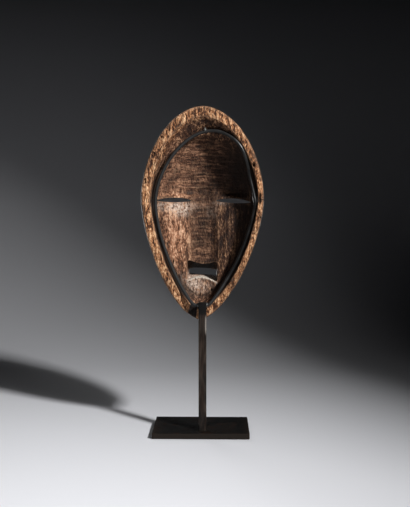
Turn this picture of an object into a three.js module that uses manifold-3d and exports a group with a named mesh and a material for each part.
// A carved wooden face mask of the Dan kind, held with its hollow back to the viewer on a steel stand.
// Frame: millimetres, +Z up, origin at the middle of the base plate's underside.
// The hollow back looks along -Y, the carved face looks along +Y, and +X is the viewer's right.

import * as THREE from 'three';
import { mergeVertices } from 'three/addons/utils/BufferGeometryUtils.js';
import Module from 'manifold-3d';

const wasm = await Module();
wasm.setup();

// Clearance kept between pieces that touch
const TOUCH_GAP = 0.3;

// Stand
const PLATE_WIDTH = 100;
const PLATE_DEPTH = 63;
const PLATE_THICKNESS = 6;
const PLATE_CHAMFER = 0.7;
const POST_SIDE = 8;
const POST_LENGTH = 132.7;
const POST_CHAMFER = 0.5;
const POST_SETBACK = 7;       // from the plate's near edge to the post's near face
const POST_OFFSET = 1.7;      // to the right of the plate's middle
const ROD_DIAMETER = 3.5;
const ROD_BELOW_TOP = 2.6;    // from the post's top down to the middle of the rod's ends

// Mask
const MASK_HEIGHT = 219.5;
const MASK_WIDTH = 127;
const HOLLOW_DEPTH = 31;      // from the rim's back face to the deepest part of the plain bowl
const WALL = 9;               // wood left in front of the hollow
const EDGE_HEIGHT = 7;        // straight outer side of the rim, before the face starts to dome
const EDGE_ROUND = 3;         // worn outer corner of the rim
const LIP_ROUND = 0.8;        // worn inner edge of the rim
const LIP_START = 1.015;      // where that edge starts to turn down, as a share of the way out to it
const RIM_LEFT = 9.8;
const RIM_RIGHT = 6.5;
const RIM_TOP = 11.5;
const RIM_CHIN = 12;
const WALL_RUN_SIDE = 4;      // how far the hollow's side walls slope in before the floor starts
const WALL_RUN_TOP = 21;
const WALL_RUN_CHIN = 11;
const WALL_DROP = 17;         // depth of the hollow where its walls meet its floor
const CHIN_BEHIND_POST = 19;  // how far the post's top stands above the chin's tip

// Openings and breaks, in millimetres
const EYE_LENGTH = 36.5;
const EYE_HEIGHT = 4.8;
const MOUTH_WIDTH = 28;
const MOUTH_HEIGHT = 7;
const MOUTH_TILT = -0.06;       // fall of the mouth towards +X, as a slope
const MOUTH_POCKET_MARGIN = 2;
const MOUTH_POCKET_UP = 14;
const MOUTH_POCKET_DOWN = 10;
const MOUTH_POCKET_WAIST = 5;   // how far the pocket's two long edges come in at the middle
const MOUTH_POCKET_POWER = 0.3;   // of the cosine and sine, small for square corners
const MOUTH_FUNNEL_FROM = 29;   // depth where the pocket starts to narrow towards the opening
const MOUTH_FUNNEL_TO = 41;
const CHIN_CHIP_DEPTH = 5.5;
const CHIN_CHIP_ANGLES = [-105.5, -96];   // degrees from +X, about the widest line of the mask
const CHIN_CHIP_PAST_RIM = 3;   // how far the chip goes in past the rim's inner edge
const RIM_SLOT_WIDTH = 1.4;
const RIM_SLOT_LENGTH = 12;
const RIM_SLOT_DEPTH = 9;
const RIM_CRACK_WIDTH = 0.8;
const CLEAR = 6;                // how far a cutting shape starts outside the wood

// Mesh resolution
const SECTORS = 72;
const FRONT_RINGS = 29;
const SIDE_RINGS = 3;
const RIM_RINGS = 2;
const WALL_RINGS = 4;
const FLOOR_RINGS = 15;
const ROD_SIDES = 8;
const ROD_STEPS = 64;

// The mask's own frame: x from the post's middle, depth from the rim's back face, z from the chin's tip
const postTop = PLATE_THICKNESS + TOUCH_GAP + POST_LENGTH;
const postMiddleY = -PLATE_DEPTH / 2 + POST_SETBACK + POST_SIDE / 2;
const maskPlace = new THREE.Vector3(
  POST_OFFSET,
  postMiddleY + POST_SIDE / 2 + TOUCH_GAP,
  postTop - CHIN_BEHIND_POST,
);

const mix = (a, b, t) => a + (b - a) * t;
const signedPower = (value, power) => Math.sign(value) * Math.abs(value) ** power;
const degrees = (value) => (value * Math.PI) / 180;
const rise = (value, soft) => 1 / (1 + Math.exp(-value / soft));
const hill = (x, z, middleX, middleZ, wide, tall) =>
  Math.exp(-(((x - middleX) / wide) ** 2) - ((z - middleZ) / tall) ** 2);

// The outline is two half superellipses that meet where the mask is widest:
// x = half width * cos^(2/p) and z = reach * sin^(2/q), with one p and q above and others below.
const WIDEST = 0.568 * MASK_HEIGHT;
const CROWN = { reach: MASK_HEIGHT - WIDEST, p: 1.9, q: 1.8 };
const JAW = { reach: WIDEST, p: 1.6, q: 1.55 };

// The carver's middle line drifts to the left towards the chin.
const DRIFT = 3;
const midline = (z) => -DRIFT * (1 - Math.min(z / MASK_HEIGHT, 1)) ** 3;

const NO_INSET = { left: 0, right: 0, top: 0, chin: 0 };
const RIM_INSET = { left: RIM_LEFT, right: RIM_RIGHT, top: RIM_TOP, chin: RIM_CHIN };
const FLOOR_INSET = {
  left: RIM_LEFT + WALL_RUN_SIDE,
  right: RIM_RIGHT + WALL_RUN_SIDE,
  top: RIM_TOP + WALL_RUN_TOP,
  chin: RIM_CHIN + WALL_RUN_CHIN,
};

/** Point [x, z] of the outline, drawn in by the inset's four amounts, at an angle from +X. */
function outlinePoint(angle, inset) {
  const c = Math.cos(angle);
  const s = Math.sin(angle);
  const curve = s >= 0 ? CROWN : JAW;
  const halfWidth = MASK_WIDTH / 2 - (c >= 0 ? inset.right : inset.left);
  const reach = curve.reach - (s >= 0 ? inset.top : inset.chin);
  const z = WIDEST + reach * signedPower(s, 2 / curve.q);
  return [halfWidth * signedPower(c, 2 / curve.p) + midline(z), z];
}

/** How far out a point lies, from 0 in the middle of the outline to 1 on it: (|x|^p + |z|^q)^(1/p). */
function spread(x, z, inset) {
  const curve = z >= WIDEST ? CROWN : JAW;
  const halfWidth = MASK_WIDTH / 2 - (x >= midline(z) ? inset.right : inset.left);
  const reach = curve.reach - (z >= WIDEST ? inset.top : inset.chin);
  const across = Math.abs((x - midline(z)) / halfWidth) ** curve.p;
  const along = Math.abs((z - WIDEST) / reach) ** curve.q;
  return Math.min((across + along) ** (1 / curve.p), 1);
}

const between = (from, [x, z], share) => [mix(from[0], x, share), mix(from[1], z, share)];

// Places and sizes of the carved features, in percent of the mask's height; heights count from the chin
const PERCENT = MASK_HEIGHT / 100;
const BROW = 59.7;
const EYE_LINE = 56.1;
const EYE_SPREAD = 14.1;
const NOSE_TIP = 30;
const MOUTH_LINE = 21.7;
const CHIN_BALL = 9;
const SLOT_UP = 56.9;
const CRACK_UP = 56.4;
const FACE_SHIFT = 0.36;      // the features sit a little to the right of the post

const faceX = (z) => midline(z) + FACE_SHIFT * PERCENT;

// Where the rings of the mesh close: between the nose and the mouth in front, between the eyes behind
const FACE_MIDDLE = [FACE_SHIFT * PERCENT, 33 * PERCENT];
const HOLLOW_MIDDLE = [midline(WIDEST), WIDEST];

/** How far down the nose a height lies: 0 at the brow, 1 at the nose's tip. */
const noseShare = (up) => Math.min(Math.max((BROW - up) / (BROW - NOSE_TIP), 0), 1.15);

/** Height of the carved face above the rim's plane. */
function faceHeight(x, z) {
  const share = spread(x, z, NO_INSET);
  const dome = HOLLOW_DEPTH + WALL - EDGE_HEIGHT;
  const up = z / PERCENT;
  const u = (x - faceX(z)) / PERCENT;
  const side = Math.abs(u);
  const forehead = 2.5 * hill(u, up, 0, 78, 21, 18);
  const ridge = 0.4 * hill(u, up, 0, 76, 1.2, 15.5);
  const underBrow = BROW + 1.8 - 0.0092 * (side - 10) ** 2 - up;
  const recess = -4.1 * rise(underBrow, 1) * Math.exp(-((underBrow / 15.5) ** 2)) * rise(side - 2.7, 1.15);
  const lids = 1.9 * hill(side, up, EYE_SPREAD, EYE_LINE, 9.1, 3.9);
  const cheeks = 1.4 * hill(side, up, 15, 42, 7.7, 11);
  const down = noseShare(up);
  const noseEnds = rise(up - NOSE_TIP + 0.5, 1) * rise(BROW + 4.1 - up, 1.8);
  const nose = (1.4 + 5.9 * down) * Math.exp(-((u / mix(2.7, 4.6, down)) ** 2)) * noseEnds;
  const wings = 2.3 * hill(side, up, 4.6, NOSE_TIP + 2.7, 2.5, 3.2);
  const muzzle = 5 * hill(u, up, 0, MOUTH_LINE, 12.3, 10);
  const lipReach = Math.sqrt(Math.max(1 - (u / 10.9) ** 2, 0));
  const upperLip = 2.5 * Math.exp(-(((up - MOUTH_LINE - 3.9 * lipReach) / 2.1) ** 2)) * lipReach;
  const lowerLip = 2.5 * Math.exp(-(((up - MOUTH_LINE + 4 * lipReach) / 2.2) ** 2)) * lipReach;
  const chin = 3.2 * hill(u, up, 0, CHIN_BALL, 6.8, 5.5);
  const face = forehead + ridge + recess + lids + cheeks + nose + wings + muzzle + upperLip + lowerLip + chin;
  return EDGE_HEIGHT + dome * (1 - share ** 2.4) ** 0.62 + face * PERCENT * (1 - share ** 6);
}

/** Depth of the hollow's floor below the rim's plane. */
function floorDepth(x, z) {
  const share = spread(x, z, FLOOR_INSET);
  const up = z / PERCENT;
  const u = (x - faceX(z)) / PERCENT;
  const bowl = WALL_DROP + (HOLLOW_DEPTH - WALL_DROP) * (1 - share ** 2.2);
  const browStep = mix(-1.6, 1.4, rise(up - BROW + 0.9, 0.55));
  const down = Math.min(noseShare(up), 1);
  const noseEnds = rise(up - NOSE_TIP + 4.5, 0.6) * rise(BROW + 3.6 - up, 1.4);
  const nose = mix(1.1, 2.6, down) * Math.exp(-((Math.abs(u) / mix(3.9, 6.9, down)) ** 5)) * noseEnds;
  const chin = -1.1 * hill(u, up, 0, MOUTH_LINE - 7.3, 9.1, 5.9);
  return bowl + (browStep + nose + chin) * PERCENT * (1 - share ** 5);
}

/** Point [x, depth, z] of the mask's surface: ring 0 is the middle of the face, the last is the hollow's. */
function surfacePoint(ring, angle) {
  let step = ring;
  if (step <= FRONT_RINGS) {
    const share = Math.sin(degrees(90 * (step / FRONT_RINGS) ** 1.15));
    const [x, z] = between(FACE_MIDDLE, outlinePoint(angle, NO_INSET), share);
    return [x, faceHeight(x, z), z];
  }
  step -= FRONT_RINGS;
  if (step <= SIDE_RINGS) {
    const turn = degrees((90 * (step - 1)) / (SIDE_RINGS - 1));
    const drawnIn = EDGE_ROUND * (1 - Math.cos(turn));
    const edge = { left: drawnIn, right: drawnIn, top: drawnIn, chin: drawnIn };
    const [x, z] = outlinePoint(angle, edge);
    return [x, EDGE_ROUND * (1 - Math.sin(turn)), z];
  }
  step -= SIDE_RINGS;
  const lip = outlinePoint(angle, RIM_INSET);
  if (step <= RIM_RINGS) {
    const [x, z] = between(HOLLOW_MIDDLE, lip, step === RIM_RINGS ? 1 : LIP_START);
    return [x, step === RIM_RINGS ? LIP_ROUND : 0, z];
  }
  step -= RIM_RINGS;
  if (step <= WALL_RINGS) {
    const share = step / WALL_RINGS;
    const foot = outlinePoint(angle, FLOOR_INSET);
    const depth = mix(LIP_ROUND, WALL_DROP, share * (1.35 - 0.35 * share));
    return [mix(lip[0], foot[0], share), depth, mix(lip[1], foot[1], share)];
  }
  step -= WALL_RINGS;
  const share = 1 - step / FLOOR_RINGS;
  const [x, z] = between(HOLLOW_MIDDLE, outlinePoint(angle, FLOOR_INSET), share);
  return [x, floorDepth(x, z), z];
}

/** The geometry with its positions alone, and its doubled vertices merged. */
function bare(geometry) {
  geometry.deleteAttribute('normal');
  geometry.deleteAttribute('uv');
  return mergeVertices(geometry, 1e-5);
}

function solidOf(geometry) {
  const merged = bare(geometry);
  const vertProperties = Float32Array.from(merged.attributes.position.array);
  const triVerts = Uint32Array.from(merged.index.array);
  return new wasm.Manifold(new wasm.Mesh({ numProp: 3, vertProperties, triVerts }));
}

function geometryOf(solid) {
  const mesh = solid.getMesh();
  const geometry = new THREE.BufferGeometry();
  geometry.setAttribute('position', new THREE.BufferAttribute(Float32Array.from(mesh.vertProperties), 3));
  geometry.setIndex(new THREE.BufferAttribute(Uint32Array.from(mesh.triVerts), 1));
  geometry.computeVertexNormals();
  return geometry;
}

/** Splits each four-sided cell of the rings along its shorter diagonal; the cells at the poles have none. */
function useShorterDiagonals(geometry) {
  const { index, attributes } = geometry;
  const corner = (at) => new THREE.Vector3().fromBufferAttribute(attributes.position, index.getX(at));
  const lastCell = index.count - 3 * SECTORS;
  for (let at = 3 * SECTORS; at < lastCell; at += 6) {
    const [a, b, c, d] = [at, at + 1, at + 4, at + 5].map((place) => index.getX(place));
    if (corner(at).distanceTo(corner(at + 4)) < corner(at + 1).distanceTo(corner(at + 5))) {
      [a, b, c, a, c, d].forEach((vertex, place) => index.setX(at + place, vertex));
    }
  }
  return geometry;
}

/** The mask before its openings are cut: a sphere whose rings are laid along the mask's section. */
function blankMask() {
  const rings = FRONT_RINGS + SIDE_RINGS + RIM_RINGS + WALL_RINGS + FLOOR_RINGS;
  const geometry = bare(new THREE.SphereGeometry(1, SECTORS, rings));
  const position = geometry.attributes.position;
  for (let i = 0; i < position.count; i += 1) {
    const height = Math.min(Math.max(position.getY(i), -1), 1);
    const ring = Math.round((Math.acos(height) / Math.PI) * rings);
    const angle = Math.atan2(position.getZ(i), position.getX(i));
    position.setXYZ(i, ...surfacePoint(ring, angle));
  }
  return useShorterDiagonals(geometry);
}

/** A prism along the mask's depth, with a shape drawn in x and z. */
function prism(outline, fromDepth, toDepth, steps = 1) {
  const shape = new THREE.Shape(outline.map(([x, z]) => new THREE.Vector2(x, -z)));
  const settings = { depth: toDepth - fromDepth, steps, bevelEnabled: false };
  const geometry = new THREE.ExtrudeGeometry(shape, settings);
  return geometry.rotateX(degrees(-90)).translate(0, fromDepth, 0);
}

// The openings' cutting shapes start above the hollow's floor and end in front of the nose.
const CUT_FROM = WALL_DROP - 3;
const CUT_TO = 2 * (HOLLOW_DEPTH + WALL);
const OPENING_POINTS = 24;

/** An eye slit: its lower edge is nearly straight, its upper edge arched, and it droops outwards. */
function eyeSlit(side) {
  const outline = [];
  for (let i = 0; i < OPENING_POINTS; i += 1) {
    const turn = (2 * Math.PI * i) / OPENING_POINTS;
    const along = (Math.cos(turn) * EYE_LENGTH) / 2;
    const share = Math.sin(turn) >= 0 ? 0.72 : 0.28;
    const droop = side > 0 ? -0.05 * (along + EYE_LENGTH / 2) : 0;
    const x = (FACE_SHIFT + side * EYE_SPREAD) * PERCENT + along;
    outline.push([x, EYE_LINE * PERCENT + EYE_HEIGHT * share * signedPower(Math.sin(turn), 1.4) + droop]);
  }
  return solidOf(prism(outline, CUT_FROM, CUT_TO));
}

/** The parted mouth: a long rounded opening. */
function mouthOpening() {
  const [middleX, middleZ] = [faceX(MOUTH_LINE * PERCENT), MOUTH_LINE * PERCENT];
  const outline = [];
  for (let i = 0; i < OPENING_POINTS; i += 1) {
    const turn = (2 * Math.PI * i) / OPENING_POINTS;
    const across = (MOUTH_WIDTH / 2) * signedPower(Math.cos(turn), 0.8);
    const up = (MOUTH_HEIGHT / 2) * signedPower(Math.sin(turn), 0.7) + MOUTH_TILT * across;
    outline.push([middleX + across, middleZ + up]);
  }
  return solidOf(prism(outline, CUT_FROM, CUT_TO));
}

/** The pocket behind the lips. Its long edges come in at the middle, and it narrows like a funnel. */
function mouthPocket() {
  const [middleX, middleZ] = [faceX(MOUTH_LINE * PERCENT), MOUTH_LINE * PERCENT];
  const half = MOUTH_WIDTH / 2 + MOUTH_POCKET_MARGIN;
  const outline = [];
  for (let i = 0; i < OPENING_POINTS; i += 1) {
    const turn = (2 * Math.PI * i) / OPENING_POINTS;
    const across = signedPower(Math.cos(turn), MOUTH_POCKET_POWER);
    const up = signedPower(Math.sin(turn), MOUTH_POCKET_POWER);
    const reach = (up > 0 ? MOUTH_POCKET_UP : MOUTH_POCKET_DOWN) - MOUTH_POCKET_WAIST * (1 - across ** 2);
    outline.push([middleX + half * across, middleZ + reach * up + MOUTH_TILT * half * across]);
  }
  const geometry = prism(outline, CUT_FROM - CLEAR, MOUTH_FUNNEL_TO, 2);
  const { position } = geometry.attributes;
  for (let i = 0; i < position.count; i += 1) {
    const [x, depth, z] = [position.getX(i), position.getY(i), position.getZ(i)];
    if (depth > CUT_FROM && depth < MOUTH_FUNNEL_TO - CLEAR) {
      position.setY(i, MOUTH_FUNNEL_FROM);
    } else if (depth > CUT_FROM) {
      const reach = z > middleZ ? MOUTH_POCKET_UP : MOUTH_POCKET_DOWN;
      position.setX(i, mix(middleX, x, MOUTH_WIDTH / 2 / half));
      position.setZ(i, mix(middleZ, z, MOUTH_HEIGHT / 2 / reach));
    }
  }
  return solidOf(geometry);
}

/** The piece lost from the back of the rim at the chin, between two angles of the outline. */
function chinChip() {
  const [from, to] = CHIN_CHIP_ANGLES.map(degrees);
  const inner = {
    left: RIM_LEFT + CHIN_CHIP_PAST_RIM,
    right: RIM_RIGHT + CHIN_CHIP_PAST_RIM,
    top: RIM_TOP + CHIN_CHIP_PAST_RIM,
    chin: RIM_CHIN + CHIN_CHIP_PAST_RIM,
  };
  const outer = { left: -CLEAR, right: -CLEAR, top: -CLEAR, chin: -CLEAR };
  const corners = [
    outlinePoint(from, inner),
    outlinePoint(from, outer),
    outlinePoint(to, outer),
    outlinePoint(to, inner),
  ];
  return solidOf(prism(corners, -CLEAR, CHIN_CHIP_DEPTH));
}

/** The slot in the right of the rim, and the crack that runs from it to the rim's outside. */
function rimSlot() {
  const slotX = MASK_WIDTH / 2 - RIM_RIGHT + RIM_SLOT_WIDTH;
  const deep = 2 * RIM_SLOT_DEPTH;
  const slot = new THREE.BoxGeometry(RIM_SLOT_WIDTH, deep, RIM_SLOT_LENGTH);
  const crack = new THREE.BoxGeometry(2 * RIM_RIGHT, deep, RIM_CRACK_WIDTH);
  slot.translate(slotX, 0, SLOT_UP * PERCENT);
  crack.translate(slotX + RIM_RIGHT, 0, CRACK_UP * PERCENT);
  return solidOf(slot).add(solidOf(crack));
}

// The rod's route inside the rim, from the post's right side over the top to its left side, bent by hand:
// angle from +X in degrees, then the distance in from the rim's inner edge and the depth below the rim's
// plane, both in rod diameters.
const ROD_ROUTE = [
  [-68, 0.97, -0.46],
  [-57, 1.51, 0.57],
  [-45, 1.37, 1.29],
  [-34, 1.26, 1.43],
  [-20, 1, 1.29],
  [-9, 0.83, 1],
  [-3, 0.83, 1],
  [6, 1.23, 1.29],
  [19, 1.57, 1.43],
  [30, 1.17, 1],
  [39, 0.8, 0.46],
  [47, 0.83, 0.46],
  [58, 1.54, 1],
  [72, 2.69, 1.86],
  [87, 4, 2.29],
  [105, 4.63, 2.29],
  [126, 4.17, 2],
  [145, 3.03, 1.86],
  [163, 2, 1.71],
  [180, 1.49, 1.71],
  [197, 1.3, 1.71],
  [212, 1.45, 1.71],
  [225, 1.7, 1.43],
  [234, 1.7, 0.74],
  [245, 1.45, -0.46],
];

/** The rod's middle line in the mask's frame, which starts and ends square to the post's two sides. */
function rodCurve() {
  const endX = POST_SIDE / 2 + TOUCH_GAP;
  const endDepth = -TOUCH_GAP - POST_SIDE / 2;
  const endZ = CHIN_BEHIND_POST - ROD_BELOW_TOP;
  const end = (side, run) => new THREE.Vector3(side * (endX + run), endDepth, endZ);
  const route = ROD_ROUTE.map(([angle, inset, depth]) => {
    const edge = outlinePoint(degrees(angle), RIM_INSET);
    const reach = Math.hypot(edge[0] - HOLLOW_MIDDLE[0], edge[1] - HOLLOW_MIDDLE[1]);
    const [x, z] = between(HOLLOW_MIDDLE, edge, 1 - (inset * ROD_DIAMETER) / reach);
    return new THREE.Vector3(x, depth * ROD_DIAMETER, z);
  });
  const points = [end(1, 0), end(1, ROD_DIAMETER / 2), ...route, end(-1, ROD_DIAMETER * 1.3), end(-1, 0)];
  return new THREE.CatmullRomCurve3(points, false, 'centripetal');
}

function rodGeometry() {
  const section = new THREE.Shape();
  section.absarc(0, 0, ROD_DIAMETER / 2, 0, 2 * Math.PI);
  return bare(new THREE.ExtrudeGeometry(section, {
    steps: ROD_STEPS,
    curveSegments: ROD_SIDES / 2,
    bevelEnabled: false,
    extrudePath: rodCurve(),
  }));
}

/** A bar or plate with a chamfer all round, standing on z = 0. */
function chamferedBlock(width, depth, height, chamfer) {
  const x = width / 2 - chamfer;
  const y = depth / 2 - chamfer;
  const corners = [[-x, -y], [x, -y], [x, y], [-x, y]].map(([a, b]) => new THREE.Vector2(a, b));
  const geometry = new THREE.ExtrudeGeometry(new THREE.Shape(corners), {
    depth: height - 2 * chamfer,
    bevelThickness: chamfer,
    bevelSize: chamfer,
    bevelSegments: 1,
  });
  return bare(geometry.translate(0, 0, chamfer));
}

const carvedWood = new THREE.MeshStandardMaterial({ color: 0x4a2c1a, roughness: 0.85, metalness: 0 });
const blackSteel = new THREE.MeshStandardMaterial({ color: 0x16140f, roughness: 0.5, metalness: 0.6 });
const brownSteel = new THREE.MeshStandardMaterial({ color: 0x241c17, roughness: 0.55, metalness: 0.6 });

function named(name, geometry, material) {
  const mesh = new THREE.Mesh(geometry, material);
  mesh.name = name;
  return mesh;
}

function maskMesh() {
  const cuts = [eyeSlit(-1), eyeSlit(1), mouthPocket(), mouthOpening(), chinChip(), rimSlot()];
  const carved = cuts.reduce((solid, cut) => solid.subtract(cut), solidOf(blankMask()));
  return named('mask', geometryOf(carved), carvedWood);
}

const heldMask = new THREE.Group();
heldMask.position.copy(maskPlace);
heldMask.add(maskMesh(), named('mount_loop', rodGeometry(), blackSteel));

const plateBlock = chamferedBlock(PLATE_WIDTH, PLATE_DEPTH, PLATE_THICKNESS, PLATE_CHAMFER);
const basePlate = named('base_plate', plateBlock, blackSteel);

const postBlock = chamferedBlock(POST_SIDE, POST_SIDE, POST_LENGTH, POST_CHAMFER);
const post = named('post', postBlock, brownSteel);
post.position.set(POST_OFFSET, postMiddleY, PLATE_THICKNESS + TOUCH_GAP);

const standAndMask = new THREE.Group();
standAndMask.add(heldMask, basePlate, post);

export default standAndMask;
